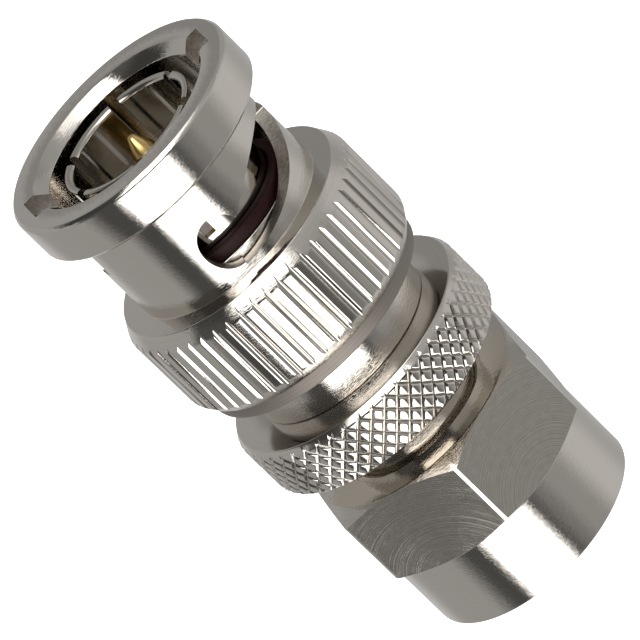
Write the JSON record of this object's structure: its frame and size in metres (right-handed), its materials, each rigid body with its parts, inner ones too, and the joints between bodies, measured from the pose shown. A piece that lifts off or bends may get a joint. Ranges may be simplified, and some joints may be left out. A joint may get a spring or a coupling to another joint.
{
  "type": "bnc connector",
  "caption": "Coaxial adapter with a bayonet coupling sleeve on one end and a threaded hexagonal coupling nut on the other, sharing one centre pin.",
  "frame": {"origin": "centre of the coupling nut's rim, on the axis, where the adapter stands", "axes": "+Z along the axis towards the bayonet sleeve's mouth, +X through one of the two stud entry slots"},
  "size_m": [0.0148, 0.0148, 0.032],
  "materials": {
    "nickel": "bright nickel plate",
    "contact_metal": "bright plate",
    "gold": "gold plate",
    "spring_steel": "plain",
    "dielectric": "white",
    "seal": "red silicone"
  },
  "bodies": {
    "connector_body": {"front_body": "nickel", "rear_body": "nickel", "front_outer_contact": "contact_metal", "rear_outer_contact": "contact_metal", "centre_contact": "gold", "front_insulator": "dielectric", "middle_insulator": "dielectric", "rear_insulator": "dielectric", "front_gasket": "seal", "rear_gasket": "seal", "snap_ring": "spring_steel", "wave_washer": "spring_steel"},
    "washer": {"thrust_washer": "spring_steel"},
    "bayonet": {"coupling_sleeve": "nickel", "retaining_bush": "nickel"},
    "nut": {"coupling_nut": "nickel"}
  },
  "joints": [
    {"name": "sleeve_slide", "type": "slide", "parent": "connector_body", "child": "washer", "axis": [0, 0, 1], "range_m": [0, 0.0008], "stiffness_N_per_m": 1500, "springref_m": -0.0004, "deforming": ["wave_washer"]},
    {"name": "sleeve_turn", "type": "hinge", "parent": "washer", "child": "bayonet", "pos_m": [0, 0, 0.02], "axis": [0, 0, 1], "continuous": true},
    {"name": "nut_turn", "type": "hinge", "parent": "connector_body", "child": "nut", "pos_m": [0, 0, 0.005], "axis": [0, 0, 1], "continuous": true}
  ]
}
